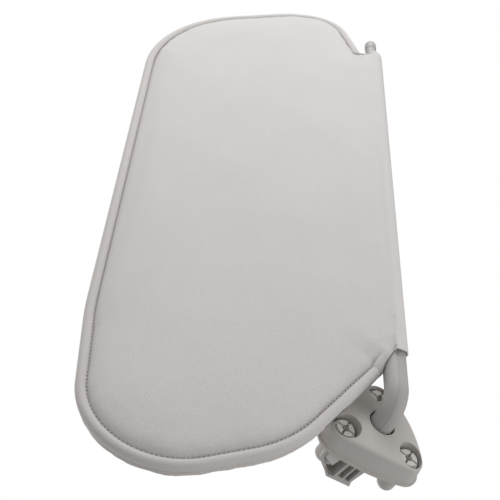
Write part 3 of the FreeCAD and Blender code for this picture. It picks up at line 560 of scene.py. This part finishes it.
def elbow_height(run, inset):
    """Height at the elbow end, where roll, crease and hood are one cloth."""
    crease = crease_inset(run)
    half = crease / 2
    swell = smooth_step(-run, *SWELL_RUNS)
    across = np.clip(1 - ((inset - half) / half) ** 2, 0, 1)
    roll = ROLL_HEIGHT + (ROLL_RADIUS + ELBOW_SWELL * swell) * np.sqrt(across)
    sewn = np.where(inset < crease, roll, np.maximum(field_height(inset - crease), ROLL_HEIGHT))
    width = HOOD_EDGE + HOOD_WIDENING * smooth_step(run, *HOOD_RUNS)
    hood = HOOD_HEIGHT * quarter_round(inset / width)
    grooved = smooth_step(run, *CREASE_FADES)
    return grooved * sewn + (1 - grooved) * hood


def clear_bracket(points):
    """Keep the roof side out of the hollow over the bracket."""
    turn = np.array(PANEL.to_3x3())
    shift = np.array(PANEL.translation) / MM
    place = points @ turn.T + shift
    over = (np.hypot(place[:, 0], place[:, 1]) < HOLLOW_RADIUS) & (place[:, 2] > HOLLOW_LEVEL)
    place[over, 2] = HOLLOW_LEVEL
    return (place - shift) @ turn


def refine(thing, wanted, rounds):
    """Split the faces whose points are wanted, so that fine folds can be shaped there."""
    form = bmesh.new()
    form.from_mesh(thing.data)
    for _ in range(rounds):
        inside = {vertex for vertex in form.verts if wanted(vertex.co.x / MM, vertex.co.y / MM)}
        edges = [edge for edge in form.edges if edge.verts[0] in inside and edge.verts[1] in inside]
        bmesh.ops.subdivide_edges(form, edges=edges, cuts=1, use_grid_fill=True)
    form.to_mesh(thing.data)
    form.free()


def cut_away(thing, name, mesh):
    """Cut a closed mesh out of a cover."""
    cutter = new_object(name, mesh)
    change = thing.modifiers.new(name, "BOOLEAN")
    change.operation = "DIFFERENCE"
    change.solver = "EXACT"
    change.object = cutter
    freeze(thing)
    bpy.data.objects.remove(cutter)


def cut_mouth(thing):
    """Open the cloth round the arm."""
    form = bmesh.new()
    reach = MOUTH_REACH[1] - MOUTH_REACH[0]
    middle = (MOUTH_REACH[1] + MOUTH_REACH[0]) / 2
    place = Matrix.Translation((middle * MM, 0, 0)) @ Matrix.Rotation(math.radians(90), 4, "Y")
    bmesh.ops.create_cone(form, cap_ends=True, segments=64, radius1=MOUTH_RADIUS * MM,
                          radius2=MOUTH_RADIUS * MM, depth=reach * MM, matrix=place)
    mesh = bpy.data.meshes.new("mouth")
    form.to_mesh(mesh)
    form.free()
    cut_away(thing, "mouth", mesh)


def trim_rim(thing):
    """Trim the cloth beside the arm on a slant, so that the roof side ends further in than the front."""
    mesh = bpy.data.meshes.new("rim")
    ends = [(x, y, z) for y in (RIM_DEPTH, RIM_SIDE) for x, z in RIM_SLANT]
    mesh.from_pydata([(x * MM, y * MM, z * MM) for x, y, z in ends], [], [
        (3, 2, 1, 0), (4, 5, 6, 7), (1, 5, 4, 0), (2, 6, 5, 1), (3, 7, 6, 2), (0, 4, 7, 3)])
    cut_away(thing, "rim", mesh)


def finish_cover(cover, node, cloth):
    """Material, place and body of a padded cover; the CAD part it replaces is hidden."""
    cover.data.materials.clear()
    cover.data.materials.append(cloth)
    smooth_shade(cover)
    to_world(cover)
    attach(cover, "panel")
    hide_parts(node)


def make_front_cover():
    """Cloth over thin foam: nearly flat, sewn down along the crease and round the pivot edge and the arm."""
    plan = offset(OUTLINE, CREASE_INSET - TUCK, {0: 0.0, 1: SHOULDER_INSET})
    plan[0] = offset(OUTLINE, HOOD_INSET, {0: 0.0, 1: SHOULDER_INSET})[0]
    plan += [(*elbow_point(JOIN_RUN + 2.5, CREASE_INSET - TUCK), 0.5),
             (*elbow_point(JOIN_RUN, HOOD_INSET), 0.5)]
    high = FRONT_FACE - PUFF
    rim = rounded(plan, step=1.0)
    cover = remesh(prism("front_cover", rim, FRONT_FLOOR, high), VOXEL)
    edge = distance_to(read_points(cover), rim)
    inflate(cover, PUFF, np.flatnonzero(edge < SEWN_BAND))
    subdivide(cover)
    refine(cover, near_elbow, 2)
    points = read_points(cover)
    sewn = distance_to(points, crease_path(0.5))
    run, inset = elbow_place(points[:, 0], points[:, 1])
    edge = distance_to(points, rounded(OUTLINE, step=0.5))
    sewn = np.where((edge < CREASE_INSET) & (points[:, 1] > OUTLINE[2][1]), 0.0, sewn)
    local = (1 - smooth_step(inset, *ELBOW_INSETS)) * (1 - smooth_step(run, JOIN_RUN, JOIN_RUN + JOIN_BLEND))
    top = field_height(sewn) * (1 - local) + elbow_height(run, inset) * local
    rounding = 1 - quarter_round((OUTLINE[1][0] - points[:, 0]) / SHOULDER_ROUND)
    shoulder = 1 - rounding * smooth_step(-points[:, 1], *SHOULDER_EASE)
    top *= SHOULDER_LOW + (1 - SHOULDER_LOW) * shoulder
    under = UNDER_THIN + (1 - UNDER_THIN) * (1 - np.exp(-sewn / UNDER_RUN))
    under = under * (1 - local) + np.clip(ELBOW_THIN + inset / ELBOW_RUN, 0, 1) * local
    part = points[:, 2] / high
    puffed = PUFF_SHOWN * smooth_step(edge, PIVOT_ROUND, PUFF_FULL)
    part = np.where(part > 1, 1 + (part - 1) * puffed, part)
    points[:, 2] = np.where(points[:, 2] > 0, part * top, points[:, 2] * under)
    pivot = [Vector((x, OUTLINE[0][1])) for x in np.arange(HOOD_END, OUTLINE[1][0] + 1.0, 0.5)]
    round_edge(points, distance_to(points, pivot), PIVOT_ROUND, FRONT_FACE, BACK_ROUND)
    write_points(cover, clear_bracket(points))
    cut_mouth(cover)
    trim_rim(cover)
    finish_cover(cover, "cover_front", knit)


def near_elbow(x, y):
    """True in the patch whose folds are finest."""
    run, inset = elbow_place(x, y)
    return -12.0 < run < JOIN_RUN + 5.0 and inset < 18.0


def make_back_cover():
    """Cloth of the roof side: a shallow pan that tucks in behind the rolled edge."""
    plan = offset(OUTLINE, BACK_INSET, {0: BACK_PIVOT_INSET, 1: BACK_PIVOT_INSET})
    rim = rounded(plan, step=1.0)
    cover = remesh(prism("back_cover", rim, *BACK_LEVELS), VOXEL)
    inflate(cover, BACK_PUFF, np.flatnonzero(distance_to(read_points(cover), rim) < SEWN_BAND))
    subdivide(cover)
    even(cover)
    points = read_points(cover)
    hug(points, rounded(plan, step=0.5), HUG_REACH)
    edge = distance_to(points, rim)
    points[:, 2] *= BACK_THIN + (1 - BACK_THIN) * (1 - np.exp(-edge / BACK_RUN))
    write_points(cover, clear_bracket(points))
    cut_mouth(cover)
    trim_rim(cover)
    finish_cover(cover, "cover_back", back_knit)


# ---------------------------------------------------------------- rolled edge and stitches

def path_curve(name, path, height):
    """Poly curve through points in millimetres, at one height if that is given."""
    curve = bpy.data.curves.new(name, "CURVE")
    curve.dimensions = "3D"
    line = curve.splines.new("POLY")
    line.points.add(len(path) - 1)
    for point, place in zip(line.points, path):
        level = place.z if height is None else height
        point.co = (place.x * MM, place.y * MM, level * MM, 1)
    return new_object(name, curve)


def socket_input(tree, name, kind, value):
    """Named input of a geometry node tree; returns its identifier."""
    made = tree.interface.new_socket(name=name, in_out="INPUT", socket_type=kind)
    if value is not None:
        made.default_value = value
    return made.identifier


def curve_tree(name, sizes, material):
    """Geometry node tree with its inputs: sizes in millimetres and a material."""
    tree = bpy.data.node_groups.new(name, "GeometryNodeTree")
    tree.interface.new_socket(name="Geometry", in_out="INPUT", socket_type="NodeSocketGeometry")
    tree.interface.new_socket(name="Geometry", in_out="OUTPUT", socket_type="NodeSocketGeometry")
    inputs = {socket_input(tree, label, "NodeSocketFloat", value * MM): value * MM
              for label, value in sizes.items()}
    inputs[socket_input(tree, "Material", "NodeSocketMaterial", None)] = material
    return tree, inputs, add(tree, "NodeGroupInput")


def swept_tree(name, radius, material):
    """Tube swept along a curve."""
    tree, inputs, source = curve_tree(name, {"Radius": radius}, material)
    section = add(tree, "GeometryNodeCurvePrimitiveCircle", {
        "Resolution": 20, "Radius": source.outputs["Radius"]})
    swept = add(tree, "GeometryNodeCurveToMesh", {
        "Curve": source.outputs["Geometry"], "Profile Curve": section.outputs["Curve"], "Fill Caps": True})
    smooth = add(tree, "GeometryNodeSetShadeSmooth", {"Geometry": swept.outputs["Mesh"]})
    whole = add(tree, "GeometryNodeRealizeInstances", {"Geometry": smooth.outputs["Geometry"]})
    covered = add(tree, "GeometryNodeSetMaterial", {
        "Geometry": whole.outputs["Geometry"], "Material": source.outputs["Material"]})
    add(tree, "NodeGroupOutput", {"Geometry": covered.outputs["Geometry"]})
    return tree, inputs


def stitch_tree(pitch, length, radius, material):
    """Short threads set end to end along a curve, a pitch apart."""
    sizes = {"Pitch": pitch, "Thread Length": length, "Thread Radius": radius}
    tree, inputs, source = curve_tree("lock_stitches", sizes, material)
    spots = add(tree, "GeometryNodeCurveToPoints", {
        "Curve": source.outputs["Geometry"], "Length": source.outputs["Pitch"]}, mode="LENGTH")
    ball = add(tree, "GeometryNodeMeshUVSphere", {
        "Segments": 6, "Rings": 4, "Radius": source.outputs["Thread Radius"]})
    stretch = add(tree, "ShaderNodeMath", {
        0: source.outputs["Thread Length"], 1: source.outputs["Thread Radius"]}, operation="DIVIDE")
    halved = add(tree, "ShaderNodeMath", {0: stretch.outputs[0], 1: 0.5}, operation="MULTIPLY")
    shape = add(tree, "ShaderNodeCombineXYZ", {"X": 1.0, "Y": 1.0, "Z": halved.outputs[0]})
    placed = add(tree, "GeometryNodeInstanceOnPoints", {
        "Points": spots.outputs["Points"], "Instance": ball.outputs["Mesh"],
        "Rotation": spots.outputs["Rotation"], "Scale": shape.outputs["Vector"]})
    whole = add(tree, "GeometryNodeRealizeInstances", {"Geometry": placed.outputs["Instances"]})
    smooth = add(tree, "GeometryNodeSetShadeSmooth", {"Geometry": whole.outputs["Geometry"]})
    covered = add(tree, "GeometryNodeSetMaterial", {
        "Geometry": smooth.outputs["Geometry"], "Material": source.outputs["Material"]})
    add(tree, "NodeGroupOutput", {"Geometry": covered.outputs["Geometry"]})
    return tree, inputs


def apply_tree(thing, tree, inputs):
    """Run a geometry node tree on an object and keep the plain mesh it makes."""
    change = thing.modifiers.new(tree.name, "NODES")
    change.node_group = tree
    for identifier, value in inputs.items():
        change[identifier] = value
    graph = bpy.context.evaluated_depsgraph_get()
    mesh = bpy.data.meshes.new_from_object(thing.evaluated_get(graph), depsgraph=graph)
    name = thing.name
    bpy.data.objects.remove(thing)
    return new_object(name, mesh)


def make_edge_roll():
    """Rolled cloth edge outside the sewn crease."""
    centre = ROLL_RADIUS + 0.1
    path = [p for p in roll_path(centre) if not (
        elbow_place(p.x, p.y)[0] < JOIN_RUN - 2.0 and elbow_place(p.x, p.y)[1] < 2 * centre)]
    curve = path_curve("edge_roll", path, ROLL_HEIGHT)
    roll = apply_tree(curve, *swept_tree("rolled_edge", ROLL_RADIUS, knit_roll))
    to_world(roll)
    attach(roll, "panel")
    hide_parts("edge_piping")


def make_seam_stitches():
    """Lock stitches down in the crease."""
    line = path_curve("seam_stitches", crease_path(1.0), SEAM_VALLEY + STITCH_LIFT)
    seam = apply_tree(line, *stitch_tree(STITCH_PITCH, STITCH_LENGTH, STITCH_RADIUS, thread))
    to_world(seam)
    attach(seam, "panel")


def make_arm_mould_line():
    """Fine parting ridge that the mould leaves along the outside of the elbow."""
    turn = math.radians(RIDGE_TURN)
    side = math.sin(turn) * ARM_RADIUS
    reach = (ARM_RADIUS - RIDGE_SUNK) * math.cos(turn)
    start = ARM_BEND - ROD_DROP
    route = [(-reach, side, z) for z in RIDGE_TOP]
    for step in range(RIDGE_STEPS + 1):
        angle = math.radians(90.0 * step / RIDGE_STEPS)
        route.append((ARM_BEND - (ARM_BEND + reach) * math.cos(angle), side,
                      start - (ARM_BEND + reach) * math.sin(angle)))
    route += [(x, side, -ROD_DROP - reach) for x in RIDGE_END]
    curve = path_curve("arm_mould_line", [Vector(p) for p in route], None)
    ridge = apply_tree(curve, *swept_tree("mould_line", RIDGE_RADIUS, arm_acetal))
    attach(ridge, "arm")


make_front_cover()
make_back_cover()
make_edge_roll()
make_seam_stitches()
make_arm_mould_line()

# ---------------------------------------------------------------- camera, light and floor

AMBIENT = 0.44
CAMERA_PLACE = (-0.3748, -0.2350, -0.3620)
CAMERA_TURN = (-130.716, 27.331, 86.961)
FLOOR_HALF = 3.0
FLOOR_LEVEL = -0.95

world = bpy.data.worlds.new("studio")
bpy.context.scene.world = world
world.use_nodes = True
sky = world.node_tree
lamp = sky.nodes["Background"]
lamp.inputs["Color"].default_value = (1, 1, 1, 1)
lamp.inputs["Strength"].default_value = AMBIENT
white = add(sky, "ShaderNodeBackground", {"Color": (1, 1, 1, 1), "Strength": 1.0})
seen = add(sky, "ShaderNodeLightPath")
both = add(sky, "ShaderNodeMixShader", {
    0: seen.outputs["Is Camera Ray"], 1: lamp.outputs[0], 2: white.outputs[0]})
sky.links.new(both.outputs[0], sky.nodes["World Output"].inputs["Surface"])

camera_data = bpy.data.cameras.new("camera")
camera_data.lens = 79.2
camera_data.sensor_width = 36.0
camera = new_object("camera", camera_data)
camera.location = CAMERA_PLACE
camera.rotation_euler = [math.radians(a) for a in CAMERA_TURN]
bpy.context.scene.camera = camera
bpy.context.scene.view_settings.view_transform = "Standard"


def soft_light(name, direction, distance, size, power):
    """Square area light that faces the panel's middle."""
    centre = (cad_low + cad_high) / 2
    data = bpy.data.lights.new(name, "AREA")
    data.shape = "SQUARE"
    data.size = size
    data.energy = power
    made = new_object(name, data)
    away = Vector(direction).normalized()
    made.location = centre + away * distance
    made.rotation_euler = (-away).to_track_quat("-Z", "Y").to_euler()


# Each lamp's direction, distance and side in metres, and power in watts.
soft_light("key", (0.85, -0.35, -0.75), 0.82, 0.7, 5.2)
soft_light("top", (0.2, -0.3, 1.0), 1.2, 1.0, 8.0)
soft_light("fill", (-0.6, 0.9, -0.5), 0.8, 0.5, 1.6)

floor_mesh = bpy.data.meshes.new("floor")
floor_mesh.from_pydata([(x * FLOOR_HALF, y * FLOOR_HALF, FLOOR_LEVEL) for x, y in
                        ((-1, -1), (1, -1), (1, 1), (-1, 1))], [], [(0, 1, 2, 3)])
floor = new_object("floor", floor_mesh)
floor_paint, _, _, _ = new_material("matt_white_paint", Roughness=0.9, Base_Color=srgb("#EDEDED"))
floor.data.materials.append(floor_paint)
